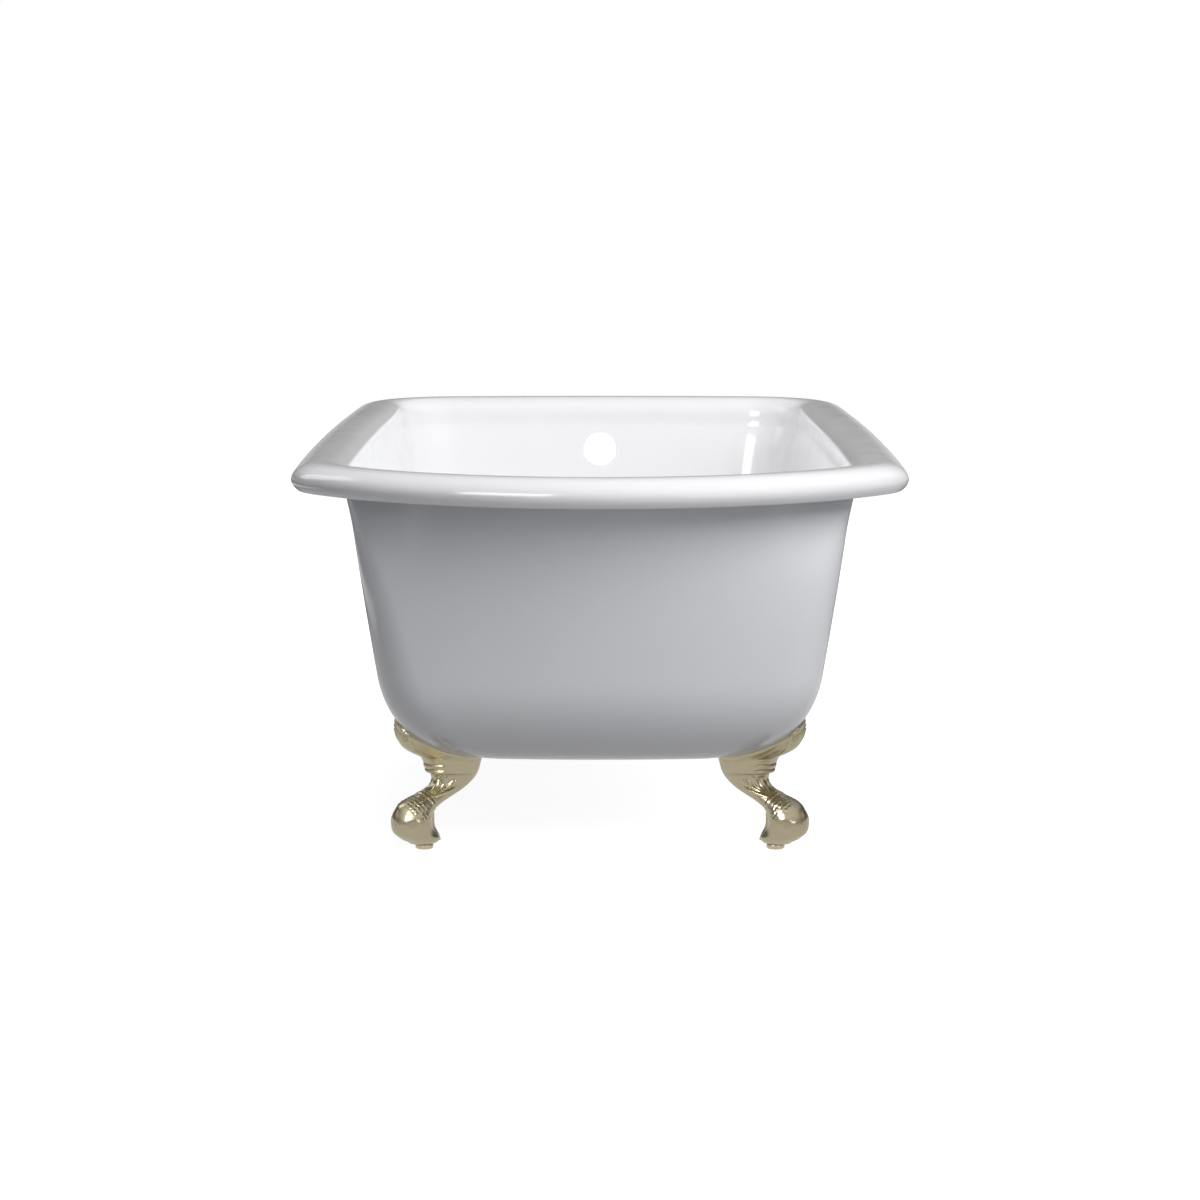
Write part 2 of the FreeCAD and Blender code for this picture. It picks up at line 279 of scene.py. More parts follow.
# %% Levels of the rim
def rim_levels(offset, drop):
    """The outermost outline moved in by an offset, at a drop below the crown."""
    offset, drop = np.broadcast_arrays(np.asarray(offset, float), np.asarray(drop, float))
    radii = end_radii[None, :] - offset[:, None]
    side, back, drain = width / 2 - offset, offset - length / 2, length / 2 - offset
    return np.column_stack([side, back, drain, radii, height - drop])


def roll_line(turn, inward):
    """The rolled edge as offset and drop: an ellipse about a middle at the crown's distance in."""
    offset = crown_from_edge - (crown_from_edge - inward) * np.cos(turn)
    return offset, roll_depth - (roll_depth - inward) * np.sin(turn)


def shoulder_levels(turn, inward):
    """From the crown to the top of the wall on a superellipse: the share across is the sine
    and the share down is one less the cosine, both to the power 2 over the shoulder's own."""
    across = np.sin(turn) ** (2 / shoulder_power)
    down = 1 - np.cos(turn) ** (2 / shoulder_power)
    end = rim_width - flare + wall - inward
    offset = crown_from_edge + (end - crown_from_edge) * across
    return rim_levels(offset, inward + (rim_drop - inward) * down)


def lip_tip(count):
    """Half a circle from the roll's hollow side to its outside, past the lip's end."""
    inner, outer = (np.array(roll_line(lip_end, inward)) for inward in (wall, 0.0))
    middle, arm = (inner + outer) / 2, (inner - outer) / 2
    past = np.array([-arm[1], arm[0]])
    turn = np.linspace(0, np.pi, count + 2)[1:-1, None]
    offset, drop = (middle + arm * np.cos(turn) + past * np.sin(turn)).T
    return rim_levels(offset, drop)


print("The lip ends", round(float(roll_line(lip_end, 0.0)[1]), 1), "mm below the crown")

# %% [markdown]
# ## One skin, all the way round
#
# The casting is a shell, so its surface goes from the middle of the underside, up the outside,
# round the rolled lip, and down the inside to the middle of the floor. Making it as one run of
# rings gives a closed mesh, with true thickness and with no seam at the lip.

# %% The run of levels
bend_rows, wall_rows, flare_rows, lip_rows, floor_rows = 20, 16, 9, 7, 10


def face_run(inward):
    """The bend, wall and flare, from the bottom up, of the face that lies a given way inside the
    outer one."""
    turn = np.linspace(quarter, 0, bend_rows, endpoint=False)
    flare_end = rim_drop + flare_drop
    bend = body_levels(wall_drop + bend_depth * np.sin(turn), turn, inward)
    straight = np.linspace(wall_drop, flare_end, wall_rows, endpoint=False)
    flared = np.linspace(flare_end, rim_drop, flare_rows)
    return np.concatenate([bend, *(body_levels(drop, 0.0, inward) for drop in (straight, flared))])


def floor_rings(rings, count):
    """Rings that shrink from a level outline towards the middle of the flat bottom."""
    middle = rings.mean(0)
    share = np.linspace(0.0, 1.0, count + 2)[1:-1, None, None]
    return middle + (rings[None] - middle) * share


under_lip = np.concatenate([
    face_run(0.0), shoulder_levels(np.linspace(quarter, 0, 16)[1:-1], wall),
    rim_levels(*roll_line(np.linspace(quarter, lip_end, 18), wall))])
over_lip = np.concatenate([
    rim_levels(*roll_line(np.linspace(lip_end, quarter, 34), 0.0)),
    shoulder_levels(np.linspace(0, quarter, 26)[1:-1], 0.0), face_run(wall)[::-1]])
skin = level_rings(np.concatenate([under_lip, lip_tip(lip_rows), over_lip]))
below = floor_rings(skin[0], floor_rows)
above = floor_rings(skin[-1], floor_rows)[::-1]
skin = np.concatenate([below, skin, above])
print("Rings and points round each:", skin.shape[:2])

# %% [markdown]
# ## Holes with soft edges
#
# Enamel can't cover a sharp corner, so a real casting's holes are rounded where they meet the
# face. A cutter turned like a bobbin makes such a hole: its waist is the bore, and its flared
# ends leave the round edge.

# %% Turned shapes
def turned(profile, base=(0.0, 0.0, 0.0), axis=UP, count=96):
    """Points and faces of a turned shape. Profile rows are a radius and how far along the axis
    from a base point it lies."""
    radius, along = np.asarray(profile, float).T
    axis = np.array(axis, float) / np.linalg.norm(axis)
    one = np.cross(axis, [1.0, 0.0, 0.0])
    one /= np.linalg.norm(one)
    two = np.cross(axis, one)
    turn = 2 * np.pi * np.arange(count) / count
    circle = np.cos(turn)[:, None] * one + np.sin(turn)[:, None] * two
    rings = np.array(base) + np.multiply.outer(radius, circle)
    return closed_grid(rings + np.multiply.outer(along, axis)[:, None, :])


def bobbin(radius, edge, half_wall):
    """Profile of a bore with a rounded edge at both faces of a wall: most of a quarter circle,
    and then a short cone past the face."""
    sweep, cone_out, cone_past = 70.0, 14.0, 6.0
    turn = np.radians(np.linspace(0, sweep, 8))
    out = radius + edge * (1 - np.cos(turn))
    reach = half_wall - edge + edge * np.sin(turn) / math.sin(math.radians(sweep))
    out, reach = np.append(out, out[-1] + cone_out), np.append(reach, reach[-1] + cone_past)
    return np.column_stack([[*out[::-1], *out], [*-reach[::-1], *reach]])


print("Rows of a bobbin:", len(bobbin(30.0, 3.0, 4.0)))

# %% Cutters for the two holes
overflow_drop, overflow_r, overflow_edge, waste_r, waste_seat_r = 93.0, 30.0, 3.0, 26.0, 36.0
overflow_axis = np.array([0.0, 1.0, -slopes[2]])
overflow_axis /= np.linalg.norm(overflow_axis)
wall_y = length / 2 - rim_width - slopes[2] * (overflow_drop - rim_drop)
overflow_middle = np.array([0.0, wall_y, height - overflow_drop]) - overflow_axis * wall / 2
overflow_profile = bobbin(overflow_r, overflow_edge, wall / 2 + 0.2)
overflow_shape = turned(overflow_profile, overflow_middle, overflow_axis)
overflow_cutter = new_piece("overflow_cutter", *overflow_shape)

floor_end = length / 2 - rim_width - slopes[2] * (wall_drop + bend_depth - rim_drop) - bends[2]
waste_y = floor_end - 120.0
# The waste's bore with its rounded edges, and the shallow seat above it
waste_profile = [
    [waste_r + 8, -9.0], [waste_r + 1.5, -0.2], [waste_r, 1.5], [waste_r, 4.2],
    [waste_r + 0.6, 5.1], [waste_r + 2, 5.5], [waste_seat_r - 4, 5.5], [waste_seat_r - 1.4, 5.7],
    [waste_seat_r, 6.4], [waste_seat_r + 0.9, 7.4], [waste_seat_r + 3, 8.0],
    [waste_seat_r + 14, 10.0]]
waste_cutter = new_piece("waste_cutter", *turned(waste_profile, (0.0, waste_y, floor_z)))
print("Waste hole at y =", round(waste_y, 1), "mm")

# %% [markdown]
# ## The tub
#
# Four lugs are cast on the underside, one above each foot, and each has a blind threaded hole.
# They are hidden, but they carry the feet, so they are joined to the shell as real metal. The
# hollow of the shell is never filled in: the skin above already holds the inner and the outer
# faces.

# %% Lugs and their holes
# Each foot: x and y of its leveller, and how far the foot is turned, in degrees
feet = {"back_left": (-262.0, -533.0, 213.0), "back_right": (262.0, -533.0, -33.0),
        "drain_left": (-262.0, 625.0, 147.0), "drain_right": (262.0, 625.0, 33.0)}
# A lug's radius, how far behind the leveller it is, and its lower face; then its bolt hole
lug_r, lug_back, lug_seat = 19.0, 48.0, floor_z - 27.0
bolt_r, bolt_grip = 6.0, 18.0
lug_profile = [
    [lug_r - 1, 0.0], [lug_r - 0.3, 0.3], [lug_r, 1.0], [lug_r, 22.0], [lug_r + 1.2, 25.0],
    [lug_r + 3.6, 27.6], [lug_r + 3.6, 31.0]]
hole_profile = [
    [bolt_r + 1.6, -2.0], [bolt_r + 0.8, 0.0], [bolt_r, 0.8], [bolt_r, bolt_grip],
    [bolt_r * 0.3, bolt_grip + 2.5]]


def foot_to_tub(points, corner):
    """A foot's own points, turned about its leveller's upright and moved to its corner."""
    x, y, degrees = feet[corner]
    turn = np.exp(1j * math.radians(degrees))
    plan = (points[:, 0] + 1j * points[:, 1]) * turn + complex(x, y)
    return np.column_stack([plan.real, plan.imag, points[:, 2]])


def at_each_lug(profile):
    """A turned shape at each of the four lugs."""
    points, faces = turned(profile, (-lug_back, 0.0, lug_seat), count=48)
    return [new_piece("lug_tool", foot_to_tub(points, corner), faces) for corner in feet]


lugs, lug_holes = at_each_lug(lug_profile), at_each_lug(hole_profile)
print("Lugs:", len(lugs))

# %% Join the lugs and cut the holes
tub = new_piece("tub_casting", *closed_grid(skin))
rings, columns = skin.shape[:2]
# The glaze covers the inside and the rim down to the lip, and the rest of the skin is painted
glazed_from = floor_rows + len(under_lip) + lip_rows // 2
painted = np.zeros(len(tub.data.polygons), np.int32)
painted[:glazed_from * columns] = 1
painted[(rings - 1) * columns:rings * columns] = 1
for name in ("tub_glaze", "tub_outside"):
    tub.data.materials.append(bpy.data.materials.new(name))
tub.data.polygons.foreach_set("material_index", painted)
combine(tub, lugs, "UNION")
combine(tub, [overflow_cutter, waste_cutter] + lug_holes, "DIFFERENCE")
tub.data.set_sharp_from_angle(angle=math.radians(32))
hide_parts("tub_shell")
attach(tub, "tub")
print("Tub faces:", len(tub.data.polygons), "materials:", [m.name for m in tub.data.materials])

# %% [markdown]
# ## The foot's form
#
# A claw foot is cast from a carved pattern. Its main form is a leg: a pad of metal shaped like a
# saddle under the tub, a knee, a thin ankle, and the ball that the claws hold. Each level of it is
# an oval, so three smooth curves give the whole leg: for where the oval's middle lies, for its
# half length and for its half breadth. The toes are tapered rods bent round the ball.

# %% Smooth curves through a few numbers
def smooth_through(knots, values, at):
    """A natural cubic spline: cubic between knots, with slope and bend that carry on across
    each knot, and no bend at the two ends."""
    knots, values = np.asarray(knots, float), np.asarray(values, float)
    gap = np.diff(knots)
    rise = np.diff(values, axis=0) / gap.reshape(-1, *[1] * (values.ndim - 1))
    system = np.eye(len(knots))
    right = np.zeros_like(values)
    inner = np.arange(1, len(knots) - 1)
    system[inner, inner - 1], system[inner, inner + 1] = gap[:-1], gap[1:]
    system[inner, inner] = 2 * (gap[:-1] + gap[1:])
    right[1:-1] = 3 * np.diff(rise, axis=0)
    bend = np.linalg.solve(system, right)
    k = np.clip(np.searchsorted(knots, at) - 1, 0, len(gap) - 1)
    shape = (-1,) + (1,) * (values.ndim - 1)
    t, h = (np.asarray(at) - knots[k]).reshape(shape), gap[k].reshape(shape)
    slope = rise[k] - h * (2 * bend[k] + bend[k + 1]) / 3
    return values[k] + t * (slope + t * (bend[k] + t * (bend[k + 1] - bend[k]) / (3 * h)))


print("Half way through 0, 1 and 0:", smooth_through([0, 1, 2], [0, 1, 0], [0.5]))

# %% The leg
# Each row: height, how far out the middle is, half length, half breadth, all in millimetres
leg_table = np.array([
    [9.0, 2.0, 21.0, 17.0], [13.9, 4.0, 26.5, 24.5], [24.0, 14.5, 32.0, 29.5],
    [36.9, 21.5, 30.5, 32.0], [49.2, 21.5, 30.0, 32.0], [61.1, 15.5, 30.5, 29.0],
    [73.0, -0.5, 35.5, 25.0], [86.1, -32.0, 32.5, 22.8], [98.0, -49.0, 32.0, 24.0],
    [110.1, -52.0, 38.0, 29.0], [126.1, -50.0, 44.0, 36.0], [135.1, -49.0, 47.0, 40.0],
    [143.1, -43.0, 56.0, 43.0], [151.9, -37.0, 65.0, 45.5], [163.0, -33.0, 71.0, 47.0],
    [176.1, -31.0, 75.0, 48.0], [190.0, -32.0, 77.0, 48.0], [199.9, -35.0, 76.0, 46.5],
    [205.0, -38.0, 72.0, 43.0]])
# The leg's rounded top edge: height, and how much smaller the oval is there
top_edge = np.array([[204.2, 0.6], [204.9, 1.8], [205.0, 4.5]])


def oval_at(z):
    """The leg's oval at each height: how far out its middle is, half length and half breadth."""
    return smooth_through(leg_table[:, 0], leg_table[:, 1:], z).T


def leg_shape(rows=150, columns=160):
    """The leg as rings. A ring is half length times the cosine, half breadth times the sine."""
    z = np.concatenate([np.linspace(leg_table[0, 0], 203.0, rows), top_edge[:, 0]])
    shrink = np.concatenate([np.zeros(rows), top_edge[:, 1]])
    middle, along, across = oval_at(z)
    turn = 2 * np.pi * np.arange(columns) / columns
    u = middle[:, None] + np.outer(along - shrink, np.cos(turn))
    v = np.outer(across - shrink, np.sin(turn))
    rings = np.stack([u, v, np.broadcast_to(z[:, None], u.shape)], -1)
    sole, top = floor_rings(rings[0], 6), floor_rings(rings[-1], 10)[::-1]
    return closed_grid(np.concatenate([sole, rings, top]))


print("Leg rows:", len(leg_table))


# %% Rods for toes
def rod(path, radii, face, squash, columns=40, count=60, cap_rows=8):
    """A rod along a curved path in one upright plane, with a half ball at each end.

    Path rows are reach and height in that plane, which faces a given way about the ball. A ring
    is a circle, squashed square to the plane, that stands square to the path.
    """
    steps = np.linalg.norm(np.diff(path, axis=0), axis=1)
    knots = np.concatenate([[0], np.cumsum(steps)])
    at = np.linspace(0, knots[-1], count)
    line = smooth_through(knots, path, at)
    size = smooth_through(knots, radii, at)
    tangent = np.gradient(line, at, axis=0)
    tangent /= np.linalg.norm(tangent, axis=1)[:, None]
    cap = np.sin(np.linspace(0, np.pi / 2, cap_rows, endpoint=False))
    ends = np.sqrt(1 - cap ** 2)
    start = line[0] - tangent[0] * size[0] * cap[::-1, None]
    stop = line[-1] + tangent[-1] * size[-1] * cap[:, None]
    line = np.concatenate([start, line[1:-1], stop])
    first, last = (np.repeat(row, cap_rows, 0) for row in (tangent[:1], tangent[-1:]))
    tangent = np.concatenate([first, tangent[1:-1], last])
    size = np.concatenate([size[0] * ends[::-1], size[1:-1], size[-1] * ends])
    turn = 2 * np.pi * np.arange(columns) / columns
    normal = np.stack([tangent[:, 1], -tangent[:, 0]], -1)
    around = size[:, None, None] * np.cos(turn)[None, :, None] * normal[:, None, :]
    in_plane = line[:, None, :] + around
    side = squash * np.outer(size, np.sin(turn))
    out = np.exp(1j * math.radians(face))
    plan = in_plane[..., 0] * out + 1j * side * out
    return closed_grid(np.stack([plan.real, plan.imag, in_plane[..., 1]], -1))


print("Rod helper ready")

# %% [markdown]
# The parts of the foot overlap at first. A voxel remesh takes the skin round all of them and
# covers it with small even faces, about 1 mm across, which are fine enough to carve. A real
# pattern is carved in the same order: the rough form first, and the leaves after it.

# %% The ball and its toes
ball_u, ball_z, ball_r = 21.0, 42.0, 30.0
toe_faces = (-62.0, 0.0, 62.0)
# Rows of a toe: reach and height about the ball's middle, as shares of its radius; then the
# toe's own radius in millimetres
toe_table = np.array([
    [0.20, 0.84, 6.0], [0.52, 0.67, 6.6], [0.76, 0.40, 5.8], [0.86, 0.08, 6.0],
    [0.82, -0.28, 4.8], [0.68, -0.56, 3.4], [0.52, -0.74, 1.6]])
# Rows of the spur: reach behind the ball's middle, height and radius in millimetres
spur_table = np.array([
    [27.0, 76.0, 6.5], [29.5, 60.0, 6.5], [30.5, 45.0, 6.2], [32.0, 34.0, 5.8],
    [37.5, 23.0, 5.2], [43.5, 15.0, 4.0], [46.5, 12.0, 2.4]])


def ball_and_toes():
    """The ball, three toes in front of it and a spur behind it."""
    toe_path = ball_r * toe_table[:, :2] + [0.0, ball_z]
    shapes = [rod(toe_path, toe_table[:, 2], face, 1.3) for face in toe_faces]
    shapes.append(rod(spur_table[:, :2], spur_table[:, 2], 180.0, 1.35))
    for points, _ in shapes:
        points[:, 0] += ball_u
    turn = np.linspace(np.pi / 2, -np.pi / 2, 60)[-2:0:-1]
    profile = ball_r * np.column_stack([np.cos(turn), np.sin(turn)])
    return shapes + [turned(profile, (ball_u, 0.0, ball_z))]


print("Toes:", len(toe_faces))


# %% The rough foot
def rough_foot(voxel=1.0):
    """The leg, the ball and the toes, remeshed as one skin with faces of a given size."""
    points, faces = [], []
    for some_points, some_faces in [leg_shape(), *ball_and_toes()]:
        first = sum(len(p) for p in points)
        points.append(some_points)
        faces += [[corner + first for corner in face] for face in some_faces]
    rough = new_piece("foot_rough", np.concatenate(points), faces)
    remesh = rough.modifiers.new("skin", "REMESH")
    remesh.mode, remesh.voxel_size, remesh.use_smooth_shade = "VOXEL", voxel * MM, True
    soften = rough.modifiers.new("soften", "SMOOTH")
    soften.factor, soften.iterations = 0.5, 3
    return settle(rough)


rough = rough_foot()
print("Rough foot faces:", len(rough.data.polygons))

# %% [markdown]
# ## Carving the foot
#
# The leaves and scrolls are height maps: for every point of the skin, a formula says how far it
# moves along its normal, in millimetres. Each motif has its own small coordinates, such as a
# distance and an angle from the base of a leaf, and a soft window that keeps it in its place.

# %% Shapes to carve with
def ramp(x, low, high):
    """From 0 to 1 between two values, level at both ends: 3 t squared less 2 t cubed."""
    t = np.clip((x - low) / (high - low), 0.0, 1.0)
    return t * t * (3.0 - 2.0 * t)


def window(x, low, high, soft):
    """1 between two values and 0 outside them, with soft sides."""
    return ramp(x, low - soft, low + soft) * (1.0 - ramp(x, high - soft, high + soft))


def bead(x, half_width):
    """A rounded ridge: e to the power of minus the square of x over its half width."""
    return np.exp(-(x / half_width) ** 2)


print("A bead at half its width:", round(bead(0.5, 1.0), 3))


# %% A leaf and a scroll
def leaf_fan(across, up, reach, lobes, spread):
    """A carved leaf: lobes side by side round its base, each a rounded ridge with a round tip.

    Across a lobe the height is one less the square of the way out. Along it, the height grows
    from the base and falls off sharply at a tip that lies further out in the lobe's middle.
    """
    far, aim = np.hypot(across, up), np.arctan2(across, up)
    step = spread / lobes
    place = np.clip(aim / step, -lobes / 2 + 0.5, lobes / 2 - 0.5)
    place = aim / step - np.round(place)
    tip = reach * (1.0 - 0.9 * place ** 2) * (0.80 + 0.20 * np.cos(aim))
    body = np.clip(1.0 - (2.0 * place) ** 2, 0.0, 1.0) ** 0.8
    return body * ramp(far, 0.05 * reach, 0.7 * reach) * (1.0 - ramp(far, tip - 0.22 * reach, tip))


def scroll(across, up, size):
    """A C-shaped scroll: a ridge on a spiral, whose radius shrinks by a share with each turn."""
    shrink = 0.52
    far, aim = np.hypot(across, up) / size, np.arctan2(up, across)
    turns = np.log(np.maximum(far, 0.05)) / math.log(shrink) - aim / (2 * np.pi)
    near = turns - np.round(turns)
    return bead(near, 0.16) * ramp(far, 0.12, 0.3) * (1.0 - ramp(far, 0.95, 1.1)) + bead(far, 0.16)


print("Leaf and scroll ready")

# %% [markdown]
# The apron is the broad top of the foot. Its lower edge hangs over the knee, its sides are
# fluted, and its front carries a palmette, two scrolls and three small volutes. A motif works
# with a point's reach u, breadth v and height z, with the angle round the leg from its front,
# called side, and with the length of that angle's arc.

# %% The apron's edge, flutes and border
edge_z, flute_pitch = 113.0, 17.0


def apron(z, side, arc):
    """An edge with a groove under it, flutes that follow a cosine, and a raised border."""
    down = z - (edge_z - 2.5 * np.sin(side / 2) ** 2)
    edge = 1.1 * ramp(down, -0.8, 1.8) * (1.0 - ramp(down, 8.0, 26.0)) - 0.9 * bead(down + 0.8, 1.8)
    fluted = ramp(side, 0.55, 0.8) * (1.0 - ramp(side, 2.2, 2.7))
    fluted = fluted * ramp(z, 126.0, 140.0) * (1.0 - ramp(z, 186.0, 200.0))
    flutes = 0.16 * np.cos(2 * np.pi * arc / flute_pitch) * fluted
    off = arc - (14.0 + 0.30 * (z - 136.0))
    border = 0.7 * bead(off, 1.8) - 0.45 * bead(off - 4.4, 1.9) - 0.35 * bead(off + 4.4, 1.9)
    border = border * window(z, 138.0, 186.0, 5.0)
    return (1.0 - ramp(side, 1.5, 2.2)) * edge + flutes + border


print("The apron's edge is", edge_z, "mm above the floor")

# %% The apron's volutes, palmette and scrolls
# Each volute: from which height to which, and how far it stands out
volutes = ((127.5, 136.5, 1.6), (119.5, 127.5, 1.6), (113.8, 119.5, 3.0))


def apron_front(u, v, z, side):
    """Volutes that are half circles one under the other, and a leaf fan between two scrolls."""
    total = np.zeros(len(z))
    for low, high, stands_out in volutes:
        rise = (z - low) / (high - low)
        hump = np.sqrt(np.clip(1.0 - (2.0 * rise - 1.0) ** 2, 0.0, 1.0))
        total += stands_out * hump * (1.0 - ramp(side, 0.70, 1.0))
    total += 1.7 * leaf_fan(v, z - 181.0, 21.0, 7, math.radians(200)) * (u > 0)
    return total + 0.9 * scroll(np.abs(v) - 13.0, z - 172.0, 9.0) * (u > 0)


print("Volutes:", len(volutes))

# %% [markdown]
# Below the apron, leaves open over the knee, a cuff runs round the ankle square to the leg's
# slant, and scales lie between the cuff and the ball. The toes are left nearly plain: each swells
# a little at its two knuckles and is nicked above its claw.

# %% Knee leaves, cuff and scales
ankle_u, ankle_z, ankle_r = -0.5, 73.0, 27.0
slant_up, slant_out = 0.518, 0.855
scale_high, scale_wide = 6.0, 8.0


def knee(z, side):
    """A leaf fan at each side of the front ridge, and a groove down the ridge."""
    on_knee = (1.0 - ramp(side, 2.2, 2.7)) * (1.0 - ramp(z, 110.5, 112.5))
    leaves = 2.6 * on_knee * leaf_fan((side - 0.75) * 30.0, z - 80.0, 33.0, 5, math.radians(180))
    return leaves - 0.4 * on_knee * ramp(z, 84.0, 90.0) * bead(side, 0.13)


def ankle(u, v, z):
    """Beads on levels square to the slant, and rows of scales, each row half a scale along."""
    out, up = u - ankle_u, z - ankle_z
    climb = up * slant_up - out * slant_out
    swing = np.arctan2(v, out * slant_up + up * slant_out)
    cuff = 0.5 * bead(climb, 1.5) - 0.4 * bead(climb - 3.4, 1.3) - 0.3 * bead(climb + 3.2, 1.2)
    row = -(climb + 4.5) / scale_high
    number = np.floor(row)
    lane = swing * ankle_r / scale_wide + 0.5 * (number % 2)
    lane += 0.16 * np.sin(2.3 * number + 3.0 * swing)
    lane -= np.round(lane)
    tip = 1.0 - 1.6 * lane ** 2
    scale = (row - number) * (1.0 - ramp(row - number, tip - 0.25, tip)) * (1.0 - 2.2 * lane ** 2)
    scale *= 0.8 + 0.4 * np.sin(5.1 * swing + 1.7 * number)
    around = np.abs(np.arctan2(v, u - ball_u))
    scaly = window(climb, -38.0, -9.0, 3.0) * ramp(z, 44.0, 52.0) * window(around, 0.6, 2.3, 0.2)
    return window(z, 50.0, 90.0, 6.0) * cuff + scale * scaly


print("Scales are", scale_wide, "by", scale_high, "mm")


# %% Carve the rough foot
def knuckles(u, v, z):
    """On each toe, a bead at two heights and a nick between them."""
    reach = (u - ball_u) + 1j * v
    total = np.zeros(len(z))
    for face in toe_faces:
        local = reach * np.exp(-1j * math.radians(face))
        on_toe = (local.real > 8.0) * (1.0 - ramp(np.abs(local.imag), 3.0, 9.0))
        swell = 0.5 * bead(z - 52.0, 5.0) + 0.4 * bead(z - 33.0, 4.0) - 0.3 * bead(z - 43.0, 4.0)
        total += on_toe * swell
    return total


def carving(points):
    """How far each point of the rough foot moves out, in millimetres: the sum of the motifs."""
    u, v, z = points.T
    middle, along, across = oval_at(np.clip(z, leg_table[0, 0], leg_table[-1, 0]))
    side = np.abs(np.arctan2(v / across, (u - middle) / along))
    arc = side * (along + across) / 2
    top = apron(z, side, arc) + apron_front(u, v, z, side)
    return top + knee(z, side) + ankle(u, v, z) + knuckles(u, v, z)


count = len(rough.data.vertices)
carved, normals = np.empty(count * 3), np.empty(count * 3)
rough.data.vertices.foreach_get("co", carved)
rough.data.vertex_normals.foreach_get("vector", normals)
carved, normals = carved.reshape(-1, 3) / MM, normals.reshape(-1, 3)
rise = carving(carved)
carved += normals * rise[:, None]
print("Deepest and highest carving, in mm:", round(rise.min(), 2), round(rise.max(), 2))

# %% [markdown]
# ## Four feet, fitted to the tub
#
# One pattern serves all four feet, but each casting is ground to the curve of the tub above it.
# So the carved mesh is turned to its corner and cut by the tub's own outside face, made 0.3 mm
# larger for clearance. The seat for the lug, the pocket for the bolt and the hole for the
# leveller are cut as well. They can't be seen from the front, but they are there. Where the
# saddle meets the tub it ends in a small rounded lip, which catches the light as a cast edge does.

# %% Cutters shared by the feet
# The stud's radius, its lowest and highest points, and the gap that it keeps over the bottom of
# the pad's bore, so that the two can turn; then the pad's radius and height
stud_r, stud_low, stud_high, swivel_gap = 5.0, 3.0, 52.0, 0.05
pad_r, pad_high = 13.5, 9.0
flange_low, pocket_low, pocket_r = lug_seat - 12.0, lug_seat - 44.0, 15.5
clearance = 0.3


def upright(radius, low, high, u=0.0):
    """An upright round cutter at a distance along the foot's own axis."""
    return turned([[radius, low], [radius, high]], (u, 0.0, 0.0), count=64)


def pocket_shape():
    """A round-ended slot, open at the foot's back: half a circle, then two straight sides."""
    turn = np.linspace(-np.pi / 2, np.pi / 2, 33)
    edge = np.column_stack([pocket_r * np.cos(turn) - lug_back, pocket_r * np.sin(turn)])
    open_end = -lug_back - 120.0
    edge = np.concatenate([[[open_end, -pocket_r]], edge, [[open_end, pocket_r]]])
    low = np.column_stack([edge, np.full(len(edge), pocket_low)])
    return closed_grid(np.stack([low, low + [0.0, 0.0, flange_low - pocket_low]]))


top_level = body_levels([rim_drop + flare_drop], 0.0, -clearance)
seat_levels = np.concatenate([face_run(-clearance)[:bend_rows + wall_rows], top_level])
tub_cutter = closed_grid(level_rings(seat_levels))
seat_r = lug_r + clearance
socket_profile = [
    [seat_r, lug_seat], [seat_r, floor_z - 5.5], [seat_r + 4.0, floor_z - 1.0],
    [seat_r + 4.0, 210.0]]
foot_cutters = [
    turned(socket_profile, (-lug_back, 0.0, 0.0), count=64), pocket_shape(),
    upright(bolt_r + 0.5, pocket_low, lug_seat + 20.0, -lug_back),
    upright(stud_r + 0.05, -11.0, stud_high + 2.0)]
print("Cutters for each foot:", len(foot_cutters) + 1)

# %% Place, cut and finish the feet
tub_face = BVHTree.FromPolygons(tub_cutter[0].tolist(), tub_cutter[1])


def lip_rise(points):
    """A rounded lip where the saddle meets the tub: a bead by the tub's face, with a faint groove
    below it. Only points near the tub are measured, and the others count as far away."""
    gap = np.full(len(points), 99.0)
    for k in np.flatnonzero(points[:, 2] > floor_z - 8.0):
        gap[k] = tub_face.find_nearest(points[k].tolist())[3]
    return 1.4 * bead(gap - 2.0, 2.4) - 0.3 * bead(gap - 7.5, 2.2)


def fitted_foot(corner):
    """One foot at its corner, with a lip along the tub, and with its seat and its holes cut."""
    placed = foot_to_tub(carved, corner)
    out = foot_to_tub(carved + normals, corner) - placed
    lip_height = lip_rise(placed)
    mesh = rough.data.copy()
    mesh.vertices.foreach_set("co", ((placed + out * lip_height[:, None]) * MM).ravel())
    relief = mesh.attributes.new("relief", "FLOAT", "POINT")
    relief.data.foreach_set("value", rise + lip_height)
    mesh.update()
    piece = put_in_scene(corner + "_claw_foot", mesh)
    tools = [new_piece("foot_tool", *tub_cutter)]
    for points, faces in foot_cutters:
        tools.append(new_piece("foot_tool", foot_to_tub(points, corner), faces))
    combine(piece, tools, "DIFFERENCE")
    piece.data.set_sharp_from_angle(angle=math.radians(48))
    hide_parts(corner + "_foot")
    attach(piece, "tub")
    return piece


claw_feet = [fitted_foot(corner) for corner in feet]
discard(rough)
for foot in claw_feet:
    print(foot.name, "faces:", len(foot.data.polygons))

# %% [markdown]
# ## Levellers and bolts
#
# Each foot stands on a round pad, which turns on the end of a threaded stud. The thread is a
# surface of angle and height: its radius falls and rises once for each pitch, and the angle
# shifts it, which makes the helix. A hexagon head is the same idea in plan: the radius is the
# flat's distance divided by the cosine of the angle from the flat's middle.

# %% Threads
thread_pitch = 1.5


